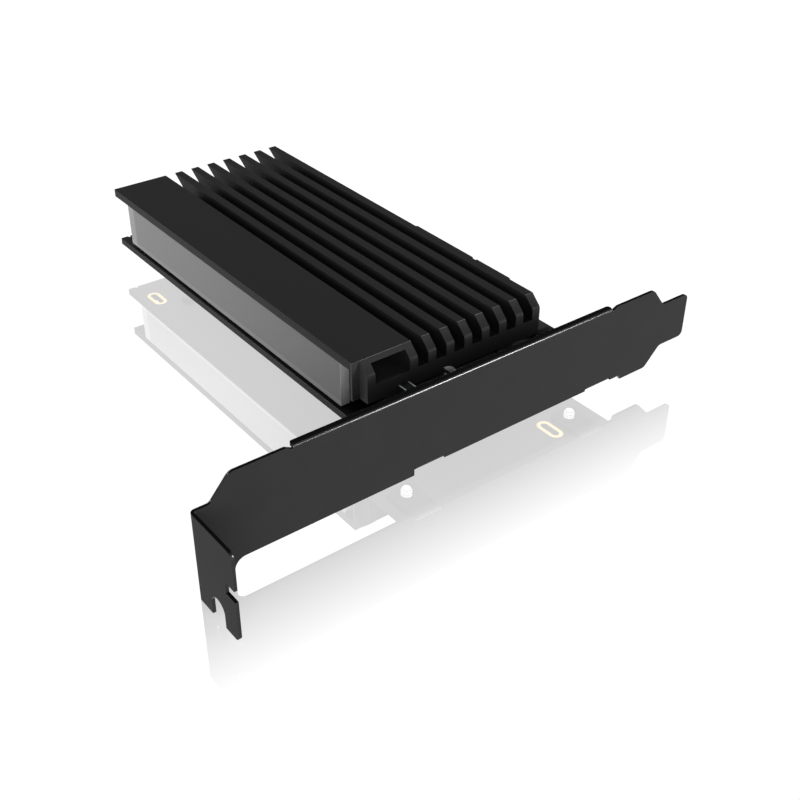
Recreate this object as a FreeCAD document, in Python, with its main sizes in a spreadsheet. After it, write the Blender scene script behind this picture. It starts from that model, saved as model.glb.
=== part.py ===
import FreeCAD, Part
import os
import Sketcher

# Adapter card that carries one 22 x 80 mm solid-state drive in a computer's expansion slot.
#
# Frame: millimetres, +Z up from the component side of the board, +Y away from the bracket.
# Origin: on the bracket's outer face, at the level of the board's top, on the drive's centre line.
# The tab that is screwed to the computer is at -X and the tongue of the bracket is at +X.

SIZES = {
    # How far a cut reaches past the face that it opens.
    "overshoot": 1.0,
    # Bracket: folded sheet, with its fixing tab, its stiffening lip and its two ears.
    "sheet_gauge": 0.65,
    "tab_side": 68.6,
    "tab_reach": 12.65,
    "tab_top": 10.8,
    "tab_foot": 8.1,
    "tab_bend": 1.0,
    "tab_corner": 1.4,
    "tab_tip_corner": 1.1,
    "screw_slot_width": 4.3,
    "screw_slot_row": 6.4,
    "screw_slot_depth": 2.75,
    "tab_notch_low": 0.65,
    "tab_notch_high": 3.05,
    "tab_notch_depth": 2.9,
    "face_top": 15.5,
    "face_foot": 3.22,
    "face_left": 60.81,
    "face_right": 40.24,
    "left_slope_run": 4.1,
    "right_slope_run": 3.41,
    "tongue_end": 51.42,
    "tongue_top": 11.13,
    "tongue_width": 10.19,
    "tongue_corner": 1.2,
    "foot_slope_run": 4.0,
    "outline_blend": 1.5,
    "heel_width": 7.1,
    "heel_blend": 2.3,
    "lip_left": 48.6,
    "lip_right": 27.95,
    "lip_depth": 1.5,
    "lip_bend": 0.74,
    "lip_flat": 0.15,
    "relief_run": 1.4,
    "relief_depth": 0.78,
    "relief_blend": 0.6,
    "ear_spacing": 44.8,
    "ear_middle": 3.6,
    "ear_width": 6.6,
    "ear_reach": 10.0,
    "ear_bend": 0.75,
    "ear_row": 7.0,
    "ear_relief": 0.35,
    "foot_step_right": 32.4,
    # Board and its edge connector.
    "board_gauge": 1.6,
    "board_left": 23.93,
    "board_right": 32.4,
    "board_near": 1.2,
    "board_span": 116.55,
    "edge_notch_width": 0.8,
    "edge_notch_depth": 0.7,
    "edge_notch_inset": 1.7,
    "finger_reach": 8.25,
    "finger_row": 43.5,
    "finger_short": 11.65,
    "finger_key": 1.9,
    "finger_long": 21.65,
    "finger_bevel": 0.45,
    "contact_pitch": 1.0,
    "contact_width": 0.7,
    "contact_span": 5.6,
    "contact_inset": 1.1,
    "contact_margin": 0.325,
    "copper_gauge": 0.05,
    "ring_length": 6.8,
    "ring_width": 3.3,
    "ring_band": 0.85,
    "slot_end_flat": 0.016,
    "far_ring_side": 3.53,
    "far_ring_inset": 8.95,
    "near_ring_side": 12.5,
    "near_ring_inset": 5.3,
    # Fasteners.
    "screw_radius": 1.25,
    "screw_head_radius": 2.6,
    "screw_head_rise": 1.9,
    "screw_tip": 1.7,
    "head_taper": 0.3,
    "hole_clearance": 0.3,
    "thread_clearance": 0.01,
    "sink_screw_radius": 1.0,
    "sink_head_radius": 1.8,
    "sink_head_rise": 1.1,
    "sink_screw_bite": 3.2,
    "sink_screw_side": 13.9,
    "sink_screw_near": 24.0,
    "sink_screw_far": 104.0,
    # Heat sink: an extrusion along Y with its ends milled.
    "sink_half": 23.4,
    "sink_front": 15.9,
    "sink_back": 119.05,
    "sink_top": 12.65,
    "sink_floor": 3.9,
    "gap_floor": 7.7,
    "bay_half": 11.8,
    "foot_width": 4.2,
    "plateau_width": 14.17,
    "fin_gauge": 2.1,
    "fin_pitch": 4.66,
    "fin_count": 7,
    "front_bevel_rise": 2.4,
    "front_bevel_run": 2.53,
    "back_slope_run": 7.05,
    "back_slope_drop": 4.85,
    "channel_left": 3.78,
    "channel_width": 8.36,
    "channel_top": 11.8,
    "ledge_gauge": 1.9,
    "ledge_depth": 2.44,
    "ledge_start": 2.53,
    "end_wall": 0.67,
    "corner_step": 1.79,
    # Light guide and the lamps that feed it.
    "guide_width": 2.3,
    "guide_inset": 0.04,
    "guide_start": 22.5,
    "guide_span": 90.0,
    "guide_lift": 0.5,
    "lamp_count": 6,
    "lamp_side": 2.0,
    "lamp_span": 3.5,
    "lamp_rise": 1.9,
    "lamp_clearance": 0.3,
    # Drive socket, standoff and pads.
    "socket_width": 21.9,
    "socket_near": 15.75,
    "socket_depth": 8.0,
    "socket_rise": 3.6,
    "socket_slot_width": 19.9,
    "socket_slot_floor": 1.35,
    "socket_slot_rise": 1.2,
    "socket_slot_depth": 4.2,
    "socket_step": 0.9,
    "drive_seat": 19.5,
    "drive_span": 80.0,
    "drive_width": 22.0,
    "standoff_radius": 2.2,
    "standoff_rise": 1.45,
    "standoff_bore": 0.8,
    "standoff_shank": 1.5,
    "tail_pitch": 0.5,
    "tail_width": 0.22,
    "tail_span": 1.3,
    "tail_gauge": 0.15,
    "key_gap_left": 4.6,
    "key_gap_right": 6.9,
    "anchor_width": 0.8,
    "anchor_span": 3.0,
    "pad_gauge": 0.5,
    "pad_side": 1.2,
    "pad_start": 27.0,
    # Small parts on the board.
    "choke_x": 12.95,
    "choke_y": 14.6,
    "choke_width": 2.6,
    "choke_span": 2.3,
    "choke_rise": 5.55,
    "choke_band": 0.35,
    "can_x": 3.9,
    "can_y": 12.8,
    "can_radius": 1.4,
    "can_rise": 6.85,
    "can_base": 3.1,
    "can_base_rise": 0.8,
    "strip_margin": 1.0,
    "chip_width": 3.9,
    "chip_span": 4.9,
    "chip_rise": 1.5,
    "coil_width": 4.2,
    "coil_rise": 2.0,
    "small_width": 0.8,
    "small_span": 1.6,
    "small_rise": 0.8,
    "small_pitch": 3.2,
    "lead_count": 4,
    "coupling_count": 8,
    "resistor_count": 5,
    "bulk_count": 3,
    "regulator_offset": 14.7,
    "coil_offset": 24.5,
    "bulk_offset": 34.3,
    "controller_offset": 4.9,
    "resistor_inset": 6.65,
}

doc = FreeCAD.newDocument("adapter_card")
sheet = doc.addObject("Spreadsheet::Sheet", "sizes")
for row, (alias, value) in enumerate(SIZES.items(), start=1):
    sheet.set("A%d" % row, alias)
    sheet.set("B%d" % row, str(value))
    sheet.setAlias("B%d" % row, alias)
doc.recompute()


def formula(text):
    """A formula over the sheet: each of its words that is an alias is read from the sheet."""
    words = []
    for word in text.replace("(", " ( ").replace(")", " ) ").split():
        words.append("sizes." + word if word in SIZES else word)
    return " ".join(words)


def size(text):
    """The value of a formula over the sheet, in millimetres."""
    return float(sheet.evalExpression(formula(text)))


def bind(thing, **properties):
    """Binds properties to formulas over the sheet; an underscore in a name is a dot in its path."""
    for name, text in properties.items():
        thing.setExpression(name.replace("_", "."), formula(text))


def place(thing, x="0", y="0", z="0"):
    """Binds a thing's position to formulas over the sheet."""
    bind(thing, Placement_Base_x=x, Placement_Base_y=y, Placement_Base_z=z)


def origin_plane(body, role):
    for feature in body.Origin.OriginFeatures:
        if feature.Role == role:
            return feature
    raise ValueError(role)


def outline(body, role, name, points, offset="0"):
    """A closed sketch through points given as pairs of formulas, on a plane of the body's origin."""
    sketch = body.newObject("Sketcher::SketchObject", name)
    sketch.AttachmentSupport = (origin_plane(body, role), "")
    sketch.MapMode = "FlatFace"
    sketch.setExpression(".AttachmentOffset.Base.z", formula(offset))
    spots = [FreeCAD.Vector(size(u), size(v), 0) for u, v in points]
    count = len(spots)
    for index in range(count):
        sketch.addGeometry(Part.LineSegment(spots[index], spots[(index + 1) % count]), False)
    for index in range(count):
        sketch.addConstraint(Sketcher.Constraint("Coincident", index, 2, (index + 1) % count, 1))
    for index, (u, v) in enumerate(points):
        for kind, text, value in (("DistanceX", u, spots[index].x), ("DistanceY", v, spots[index].y)):
            number = sketch.addConstraint(Sketcher.Constraint(kind, -1, 1, index, 1, value))
            sketch.setExpression("Constraints[%d]" % number, formula(text))
    return sketch


def box_points(left, low, right, high):
    return [(left, low), (right, low), (right, high), (left, high)]


def circles(body, role, name, spots, radius, offset="0"):
    """A sketch of equal circles at spots given as pairs of formulas."""
    sketch = body.newObject("Sketcher::SketchObject", name)
    sketch.AttachmentSupport = (origin_plane(body, role), "")
    sketch.MapMode = "FlatFace"
    sketch.setExpression(".AttachmentOffset.Base.z", formula(offset))
    for index, (u, v) in enumerate(spots):
        centre = FreeCAD.Vector(size(u), size(v), 0)
        sketch.addGeometry(Part.Circle(centre, FreeCAD.Vector(0, 0, 1), size(radius)), False)
        for kind, text, value in (("DistanceX", u, centre.x), ("DistanceY", v, centre.y)):
            number = sketch.addConstraint(Sketcher.Constraint(kind, -1, 1, index, 3, value))
            sketch.setExpression("Constraints[%d]" % number, formula(text))
        number = sketch.addConstraint(Sketcher.Constraint("Radius", index, size(radius)))
        sketch.setExpression("Constraints[%d]" % number, formula(radius))
    return sketch


def pad(body, name, sketch, length, backwards=False):
    feature = body.newObject("PartDesign::Pad", name)
    feature.Profile = sketch
    feature.Reversed = backwards
    bind(feature, Length=length)
    doc.recompute()
    return feature


def pocket(body, name, sketch, length, backwards=False):
    """Cuts a sketch out of the body, and makes sure that the cut has met the solid."""
    doc.recompute()
    before = body.Shape.Volume
    feature = body.newObject("PartDesign::Pocket", name)
    feature.Profile = sketch
    feature.Reversed = backwards
    bind(feature, Length=length)
    doc.recompute()
    if not feature.Shape.Volume < before:
        raise ValueError(name + " cuts nothing")
    return feature


def edges_at(shape, test):
    """Names of the edges whose middle and direction pass a test."""
    names = []
    for number, edge in enumerate(shape.Edges, start=1):
        ends = [vertex.Point for vertex in edge.Vertexes]
        if len(ends) == 2 and test((ends[0] + ends[1]) * 0.5, (ends[1] - ends[0]).normalize()):
            names.append("Edge%d" % number)
    return names


def along(direction, axis):
    return abs(abs(getattr(direction, axis)) - 1) < 1e-6


def near(value, target):
    return abs(value - target) < 1e-3


def dress(body, kind, name, names, property_name, amount):
    """Fillets or chamfers the named edges of the body's last feature."""
    if not names:
        raise ValueError(name + " finds no edge")
    base = body.Tip
    feature = body.newObject("PartDesign::" + kind, name)
    feature.Base = (base, names)
    feature.setExpression(property_name, formula(amount))
    doc.recompute()
    return feature


def corner_edges(body, axis, corners):
    """Edges along an axis through corners given as pairs of formulas for the two other axes."""
    others = [name for name in "xyz" if name != axis]
    spots = [(size(u), size(v)) for u, v in corners]

    def test(middle, direction):
        return along(direction, axis) and any(
            near(getattr(middle, others[0]), u) and near(getattr(middle, others[1]), v)
            for u, v in spots
        )

    return edges_at(body.Shape, test)


def new_body(name):
    body = doc.addObject("PartDesign::Body", name)
    body.Label = name
    return body


def box(name, x, y, z, length, width, height):
    """A box from its low corner and its three sizes, all formulas."""
    block = doc.addObject("Part::Box", name)
    bind(block, Length=length, Width=width, Height=height)
    place(block, x, y, z)
    return block


def cylinder(name, x, y, z, radius, height):
    rod = doc.addObject("Part::Cylinder", name)
    bind(rod, Radius=radius, Height=height)
    place(rod, x, y, z)
    return rod


def joined(kind, name, members):
    """A fuse or compound of several objects under one name."""
    whole = doc.addObject(kind, name)
    setattr(whole, "Links" if kind == "Part::Compound" else "Shapes", members)
    whole.Label = name
    return whole


def cut(name, base, tool):
    rest = doc.addObject("Part::Cut", name)
    rest.Base = base
    rest.Tool = tool
    rest.Label = name
    return rest


EAR_SIDES = ("ear_middle - ear_spacing / 2", "ear_middle + ear_spacing / 2")


def make_bracket():
    """The folded sheet: flat face, fixing tab, stiffening lip and two ears under the board."""
    body = new_body("bracket")
    mid_foot = "- board_gauge - sheet_gauge"
    lip_root = "face_top - relief_depth"
    ear_left = EAR_SIDES[0] + " - ear_width / 2"
    face = [
        ("- tab_side", "tab_top"),
        ("- face_left - left_slope_run", "tab_top"),
        ("- face_left", "face_top"),
        ("- lip_left - relief_run", "face_top"),
        ("- lip_left", lip_root),
        ("lip_right", lip_root),
        ("lip_right + relief_run", "face_top"),
        ("face_right", "face_top"),
        ("face_right + right_slope_run", "tongue_top"),
        ("tongue_end", "tongue_top"),
        ("tongue_end", "tongue_top - tongue_width"),
        ("face_right + foot_slope_run", "tongue_top - tongue_width"),
        ("face_right", "- face_foot"),
        ("foot_step_right + ear_relief", "- face_foot"),
        ("foot_step_right", mid_foot),
        (ear_left + " - ear_relief", mid_foot),
        (ear_left + " - ear_relief", "- face_foot"),
        ("heel_width - tab_side", "- face_foot"),
        ("heel_width - tab_side", "- tab_foot"),
        ("- tab_side", "- tab_foot"),
    ]
    pad(body, "face", outline(body, "XZ_Plane", "face_outline", face), "sheet_gauge", True)

    slot_low = "- screw_slot_row - screw_slot_width / 2"
    slot_high = "screw_slot_width / 2 - screw_slot_row"
    slot_root = "screw_slot_depth - tab_foot"
    tab = [
        ("sheet_gauge", "- tab_foot"),
        ("sheet_gauge", "tab_top"),
        ("- tab_reach", "tab_top"),
        ("- tab_reach", "tab_notch_high"),
        ("tab_notch_depth - tab_reach", "tab_notch_high"),
        ("tab_notch_depth - tab_reach", "tab_notch_low"),
        ("- tab_reach", "tab_notch_low"),
        ("- tab_reach", "- tab_foot"),
        (slot_low, "- tab_foot"),
        (slot_low, slot_root),
        (slot_high, slot_root),
        (slot_high, "- tab_foot"),
    ]
    pad(body, "tab", outline(body, "YZ_Plane", "tab_outline", tab, "- tab_side"), "sheet_gauge")

    section = [
        ("0", lip_root),
        ("sheet_gauge", lip_root),
        ("sheet_gauge", "face_top - sheet_gauge"),
        ("lip_depth", "face_top - sheet_gauge"),
        ("lip_depth", "face_top"),
        ("0", "face_top"),
    ]
    pad(body, "lip", outline(body, "YZ_Plane", "lip_section", section, "- lip_left"), "lip_left + lip_right")

    fold = [
        ("0", "sheet_gauge - board_gauge"),
        ("0", mid_foot),
        ("ear_reach", mid_foot),
        ("ear_reach", "- board_gauge"),
        ("sheet_gauge", "- board_gauge"),
        ("sheet_gauge", "sheet_gauge - board_gauge"),
    ]
    for number, side in enumerate(EAR_SIDES, start=1):
        left = side + " - ear_width / 2"
        section = outline(body, "YZ_Plane", "ear_fold_%d" % number, fold, left)
        pad(body, "ear_%d" % number, section, "ear_width")
        for hand, edge in (("left", left + " - ear_relief"), ("right", left + " + ear_width")):
            relief = box_points(edge, mid_foot + " - ear_relief", edge + " + ear_relief",
                                mid_foot + " + ear_bend + ear_relief / 4")
            name = "ear_relief_%d_%s" % (number, hand)
            pocket(body, name, outline(body, "XZ_Plane", name + "_outline", relief), "sheet_gauge")

    slot = circles(body, "YZ_Plane", "slot_round", [("- screw_slot_row", slot_root)],
                   "screw_slot_width / 2", "- tab_side")
    pocket(body, "slot_end", slot, "sheet_gauge", True)
    holes = circles(body, "XY_Plane", "ear_holes", [(side, "ear_row") for side in EAR_SIDES],
                    "screw_radius + thread_clearance", mid_foot)
    pocket(body, "ear_threads", holes, "sheet_gauge", True)

    tab_edge = corner_edges(body, "z", [("- tab_side", "sheet_gauge")])
    dress(body, "Fillet", "tab_bend_outside", tab_edge, "Radius", "tab_bend")
    tab_edge = corner_edges(body, "z", [("sheet_gauge - tab_side", "0")])
    dress(body, "Fillet", "tab_bend_inside", tab_edge, "Radius", "tab_bend - sheet_gauge")
    lip_edge = corner_edges(body, "x", [("0", "face_top")])
    lip_edge = [name for name in lip_edge if body.Shape.getElement(name).Length > size("lip_left")]
    dress(body, "Fillet", "lip_bend_outside", lip_edge, "Radius", "lip_bend")
    lip_edge = corner_edges(body, "x", [("sheet_gauge", "face_top - sheet_gauge")])
    dress(body, "Fillet", "lip_bend_inside", lip_edge, "Radius", "lip_bend - sheet_gauge")

    def ear_edge(level, depth):
        wanted = [size(side) for side in EAR_SIDES]

        def test(middle, direction):
            fits = near(middle.y, size(depth)) and near(middle.z, size(level))
            return along(direction, "x") and fits and any(near(middle.x, x) for x in wanted)

        return edges_at(body.Shape, test)

    dress(body, "Fillet", "ear_bends_outside", ear_edge(mid_foot, "0"), "Radius", "ear_bend")
    dress(body, "Fillet", "ear_bends_inside", ear_edge("- board_gauge", "sheet_gauge"),
          "Radius", "ear_bend - sheet_gauge")

    blends = corner_edges(body, "y", [face[1], face[2], face[7], face[8], face[11], face[12]])
    dress(body, "Fillet", "outline_blends", blends, "Radius", "outline_blend")
    ends = corner_edges(body, "y", [face[9], face[10]])
    dress(body, "Fillet", "tongue_corners", ends, "Radius", "tongue_corner")
    dress(body, "Fillet", "heel_blend_edge", corner_edges(body, "y", [face[17]]), "Radius", "heel_blend")
    tab_tip = corner_edges(body, "x", [("- tab_reach", "tab_top")])
    dress(body, "Fillet", "tab_corner_edge", tab_tip, "Radius", "tab_corner")
    prong_tip = corner_edges(body, "x", [("- tab_reach", "- tab_foot")])
    dress(body, "Fillet", "tab_tip_edge", prong_tip, "Radius", "tab_tip_corner")
    shoulders = corner_edges(body, "y", [face[3], face[6]])
    dress(body, "Fillet", "relief_blends", shoulders, "Radius", "relief_blend")
    lip_tips = corner_edges(body, "z", [("- lip_left", "lip_depth"), ("lip_right", "lip_depth")])
    dress(body, "Fillet", "lip_corners", lip_tips, "Radius", "lip_depth - lip_bend - lip_flat")
    ear_tips = corner_edges(body, "z", [
        (side + hand, "ear_reach") for side in EAR_SIDES for hand in (" - ear_width / 2", " + ear_width / 2")
    ])
    dress(body, "Fillet", "ear_corners", ear_tips, "Radius", "ear_width / 5")
    return body


SINK_SCREW_SPOTS = [
    (x, y) for y in ("sink_screw_near", "sink_screw_far") for x in ("- sink_screw_side", "sink_screw_side")
]
RINGS = (
    ("far_ring_side - board_left", "board_near + board_span - far_ring_inset"),
    ("board_right - near_ring_side", "board_near + near_ring_inset"),
)
DRIVE_END = "drive_seat + drive_span"


def make_board():
    """The circuit board with its edge connector, holes and two plated slots."""
    body = new_body("circuit_board")
    far = "board_near + board_span"
    tip = "board_right + finger_reach"
    key = "finger_row + finger_short"
    notch = "edge_notch_inset - board_left"
    shape = [
        ("- board_left", "board_near"),
        ("board_right", "board_near"),
        ("board_right", "finger_row"),
        (tip, "finger_row"),
        (tip, key),
        ("board_right + finger_key / 2", key),
        ("board_right + finger_key / 2", key + " + finger_key"),
        (tip, key + " + finger_key"),
        (tip, key + " + finger_key + finger_long"),
        ("board_right", key + " + finger_key + finger_long"),
        ("board_right", far),
        (notch + " + edge_notch_width", far),
        (notch + " + edge_notch_width / 2", far + " - edge_notch_depth"),
        (notch, far),
        ("- board_left", far),
    ]
    pad(body, "laminate", outline(body, "XY_Plane", "board_outline", shape, "- board_gauge"), "board_gauge")
    ears = circles(body, "XY_Plane", "ear_hole_circles", [(side, "ear_row") for side in EAR_SIDES],
                   "screw_radius + hole_clearance")
    pocket(body, "ear_screw_holes", ears, "board_gauge")
    sinks = circles(body, "XY_Plane", "sink_hole_circles", SINK_SCREW_SPOTS,
                    "sink_screw_radius + hole_clearance")
    pocket(body, "sink_screw_holes", sinks, "board_gauge")
    stand = circles(body, "XY_Plane", "standoff_circle", [("0", DRIVE_END)], "standoff_shank")
    pocket(body, "standoff_hole", stand, "board_gauge")
    for number, (x, y) in enumerate(RINGS, start=1):
        half = "(ring_width / 2 - ring_band)"
        reach = "(ring_length / 2 - ring_band)"
        slot = box_points(x + " - " + half, y + " - " + reach, x + " + " + half, y + " + " + reach)
        name = "plated_slot_%d" % number
        pocket(body, name, outline(body, "XY_Plane", name + "_outline", slot), "board_gauge")
    slot_corners = []
    for x, y in RINGS:
        for across in (" - (ring_width / 2 - ring_band)", " + (ring_width / 2 - ring_band)"):
            for length in (" - (ring_length / 2 - ring_band)", " + (ring_length / 2 - ring_band)"):
                slot_corners.append((x + across, y + length))
    dress(body, "Fillet", "slot_ends", corner_edges(body, "z", slot_corners), "Radius",
          "ring_width / 2 - ring_band - slot_end_flat")
    tips = []
    for level in ("0", "- board_gauge"):
        tips += corner_edges_any(body, tip, level)
    dress(body, "Chamfer", "finger_bevels", tips, "Size", "finger_bevel")
    return body


def corner_edges_any(body, x, z):
    """Edges along Y at one X and Z, whatever their place along Y."""
    spot = (size(x), size(z))

    def test(middle, direction):
        return along(direction, "y") and near(middle.x, spot[0]) and near(middle.z, spot[1])

    return edges_at(body.Shape, test)


def make_contacts(name, level):
    """One side's row of plated contacts on the edge connector."""
    pads = []
    start = "finger_row + (contact_pitch - contact_width) / 2"
    first_run = int(round(size("(finger_short - 2 * contact_margin) / contact_pitch")))
    second_run = int(round(size("(finger_long - 2 * contact_margin) / contact_pitch")))
    x = "board_right + finger_reach - contact_inset - contact_span"
    runs = ((first_run, "contact_margin"), (second_run, "finger_short + finger_key + contact_margin"))
    for run, (count, offset) in enumerate(runs):
        for number in range(count):
            y = "%s + %s + %d * contact_pitch" % (start, offset, number)
            tag = "%s_%d_%d" % (name, run, number)
            pads.append(box(tag, x, y, level, "contact_span", "contact_width", "copper_gauge"))
    return joined("Part::Compound", name, pads)


def stadium(name, x, y, z, length, width, height):
    """An upright prism with round ends, long along Y."""
    straight = "(%s) - (%s)" % (length, width)
    block = box(name + "_middle", "%s - (%s) / 2" % (x, width), "%s - (%s) / 2" % (y, straight), z,
                width, straight, height)
    ends = [
        cylinder(name + "_end_%d" % number, x, "%s %s (%s) / 2" % (y, sign, straight), z,
                 "(%s) / 2" % width, height)
        for number, sign in enumerate("-+")
    ]
    return joined("Part::MultiFuse", name + "_whole", [block] + ends)


def make_rings():
    """Plated rings round the two slots, on both faces of the board."""
    rings = []
    for number, (x, y) in enumerate(RINGS, start=1):
        for face, z in (("top", "0"), ("under", "- board_gauge - copper_gauge")):
            tag = "slot_ring_%d_%s" % (number, face)
            outer = stadium(tag + "_outer", x, y, z, "ring_length", "ring_width", "copper_gauge")
            inner = stadium(tag + "_inner", x, y, z, "ring_length - 2 * ring_band",
                            "ring_width - 2 * ring_band", "copper_gauge")
            rings.append(cut(tag, outer, inner))
    return joined("Part::Compound", "slot_rings", rings)


def make_screws(name, spots, head_level, head_up, radius, head_radius, head_rise, low, length):
    """Screws along Z: a pan head that tapers to a flat top, and a plain shank."""
    screws = []
    for number, (x, y) in enumerate(spots, start=1):
        tag = "%s_%d" % (name, number)
        rim_rise = head_rise + " * (1 - head_taper)"
        rim_base = head_level if head_up else head_level + " - " + rim_rise
        rim = cylinder(tag + "_rim", x, y, rim_base, head_radius, rim_rise)
        crown = doc.addObject("Part::Cone", tag + "_crown")
        small = head_radius + " * (1 - head_taper)"
        crown_base = head_level + (" + " + rim_rise if head_up else " - " + head_rise)
        bind(crown, Radius1=head_radius if head_up else small, Radius2=small if head_up else head_radius,
             Height=head_rise + " * head_taper")
        place(crown, x, y, crown_base)
        shank = cylinder(tag + "_shank", x, y, low, radius, length)
        screws.append(joined("Part::MultiFuse", tag, [rim, crown, shank]))
    return joined("Part::Compound", name, screws)


def make_heat_sink():
    """The finned extrusion with a ledge for the light guide and a bay for the drive under it."""
    body = new_body("heat_sink")
    right = "sink_half"
    foot = "bay_half + foot_width"
    profile = [
        ("- sink_half", "sink_floor"),
        ("- (" + foot + ")", "sink_floor"),
        ("- (" + foot + ")", "0"),
        ("- bay_half", "0"),
        ("- bay_half", "sink_floor"),
        ("bay_half", "sink_floor"),
        ("bay_half", "0"),
        (foot, "0"),
        (foot, "sink_floor"),
        (right, "sink_floor"),
        (right, "sink_top"),
        ("- sink_half", "sink_top"),
    ]
    start = "- sink_front"
    pad(body, "extrusion", outline(body, "XZ_Plane", "extrusion_profile", profile, start),
        "sink_back - sink_front", True)

    edge = "plateau_width - sink_half"
    gap = box_points(edge, "gap_floor", edge + " + (fin_pitch - fin_gauge)", "sink_top + overshoot")
    first_gap = pocket(body, "fin_gap", outline(body, "XZ_Plane", "fin_gap_outline", gap, start),
                       "sink_back - sink_front")
    pattern = body.newObject("PartDesign::LinearPattern", "fin_gaps")
    pattern.Originals = [first_gap]
    pattern.Direction = (origin_plane(body, "X_Axis"), [""])
    bind(pattern, Length="fin_pitch * (fin_count - 1)", Occurrences="fin_count")
    body.Tip = pattern
    doc.recompute()

    channel = box_points("channel_left - sink_half", "gap_floor",
                         "channel_left + channel_width - sink_half", "channel_top")
    pocket(body, "channel", outline(body, "XZ_Plane", "channel_outline", channel, start),
           "sink_back - sink_front")

    recess = box_points("- sink_half - overshoot", "sink_floor - overshoot", "ledge_depth - sink_half",
                        "sink_top - ledge_gauge")
    recess_start = "- sink_front - ledge_start - end_wall"
    pocket(body, "guide_recess", outline(body, "XZ_Plane", "guide_recess_outline", recess, recess_start),
           "sink_back - sink_front")
    step = box_points("- sink_half - overshoot", "sink_floor - overshoot", "corner_step - sink_half",
                      "sink_top + overshoot")
    pocket(body, "corner_cut", outline(body, "XZ_Plane", "corner_cut_outline", step, start), "ledge_start")

    bevel = [
        ("sink_front - overshoot", "sink_top - front_bevel_rise"),
        ("sink_front", "sink_top - front_bevel_rise"),
        ("sink_front + front_bevel_run", "sink_top"),
        ("sink_front + front_bevel_run", "sink_top + overshoot"),
        ("sink_front - overshoot", "sink_top + overshoot"),
    ]
    side = "- sink_half - overshoot"
    pocket(body, "front_bevel", outline(body, "YZ_Plane", "front_bevel_outline", bevel, side),
           "2 * sink_half + 2 * overshoot", True)

    slope_end = "sink_back - back_slope_run"
    fin_back = [
        ("sink_back", "sink_top"),
        (slope_end, "sink_top - back_slope_drop"),
        (slope_end, "- overshoot"),
        ("sink_back + overshoot", "- overshoot"),
        ("sink_back + overshoot", "sink_top"),
    ]
    pocket(body, "fin_back", outline(body, "YZ_Plane", "fin_back_outline", fin_back, edge),
           "2 * sink_half", True)
    body_back = box_points(slope_end, "- overshoot", "sink_back + overshoot", "sink_top - ledge_gauge")
    pocket(body, "body_back", outline(body, "YZ_Plane", "body_back_outline", body_back, side),
           "plateau_width + overshoot", True)

    bores = circles(body, "XY_Plane", "thread_circles", SINK_SCREW_SPOTS,
                    "sink_screw_radius + thread_clearance")
    pocket(body, "screw_bores", bores, "sink_screw_bite + hole_clearance", True)
    return body


def make_light_guide():
    """The clear bar under the ledge, which the lamps feed from behind."""
    body = new_body("light_guide")
    left = "guide_inset - sink_half"
    section = box_points(left, "guide_lift", left + " + guide_width", "sink_top - ledge_gauge")
    pad(body, "bar", outline(body, "XZ_Plane", "bar_section", section, "- guide_start"), "guide_span", True)
    return body


def make_lamps():
    """Lamp packages on the board, just behind the light guide."""
    lamps = []
    x = "guide_inset - sink_half + guide_width + lamp_clearance"
    for number in range(int(size("lamp_count"))):
        y = "guide_start + guide_span * (%d + 0.5) / lamp_count - lamp_span / 2" % number
        lamps.append(box("lamp_%d" % number, x, y, "0", "lamp_side", "lamp_span", "lamp_rise"))
    return joined("Part::Compound", "leds", lamps)


def make_socket():
    """The drive socket: a low housing with its mouth towards the drive."""
    body = new_body("drive_socket_housing")
    half = "socket_width / 2"
    plan = box_points("- " + half, "socket_near", half, "socket_near + socket_depth")
    pad(body, "housing", outline(body, "XY_Plane", "housing_plan", plan), "socket_rise")
    mouth = box_points("- socket_slot_width / 2", "socket_slot_floor", "socket_slot_width / 2",
                       "socket_slot_floor + socket_slot_rise")
    mouth_start = "- socket_near - socket_depth + socket_slot_depth"
    pocket(body, "mouth", outline(body, "XZ_Plane", "mouth_outline", mouth, mouth_start), "socket_slot_depth")
    front = box_points("- socket_slot_width / 2", "- overshoot", "socket_slot_width / 2", "socket_slot_floor")
    pocket(body, "lower_step", outline(body, "XZ_Plane", "lower_step_outline", front,
           "- socket_near - socket_depth + socket_step"), "socket_step")
    edge = corner_edges(body, "x", [("socket_near", "socket_rise")])
    dress(body, "Chamfer", "top_edge", edge, "Size", "tail_gauge")
    return body


def make_tails():
    """Solder tails of the socket, in a row on its bracket side, with a gap at the key."""
    tails = []
    count = int(size("socket_slot_width / tail_pitch")) - 1
    for number in range(count):
        middle = (number - (count - 1) / 2) * size("tail_pitch")
        if size("key_gap_left") < middle < size("key_gap_right"):
            continue
        x = "- %d * tail_pitch / 2 + %d * tail_pitch - tail_width / 2" % (count - 1, number)
        tails.append(box("tail_%d" % number, x, "socket_near - tail_span", "0",
                         "tail_width", "tail_span", "tail_gauge"))
    return joined("Part::Compound", "drive_socket_contacts", tails)


def make_anchors():
    """Soldered hold-downs at the two ends of the socket."""
    y = "socket_near + (socket_depth - anchor_span) / 2"
    sides = [("left", "- socket_width / 2 - anchor_width"), ("right", "socket_width / 2")]
    anchors = [
        box("anchor_" + hand, x, y, "0", "anchor_width", "anchor_span", "tail_gauge * 2") for hand, x in sides
    ]
    return joined("Part::Compound", "drive_socket_anchors", anchors)


def make_standoff():
    """The threaded standoff at the drive's far end, pressed into the board."""
    post = cylinder("standoff_post", "0", DRIVE_END, "0", "standoff_radius", "standoff_rise")
    shank = cylinder("standoff_barrel", "0", DRIVE_END, "- board_gauge", "standoff_shank", "board_gauge")
    bore = cylinder("standoff_thread", "0", DRIVE_END, "- board_gauge", "standoff_bore",
                    "board_gauge + standoff_rise")
    return cut("drive_standoff", joined("Part::MultiFuse", "standoff_blank", [post, shank]), bore)


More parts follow.
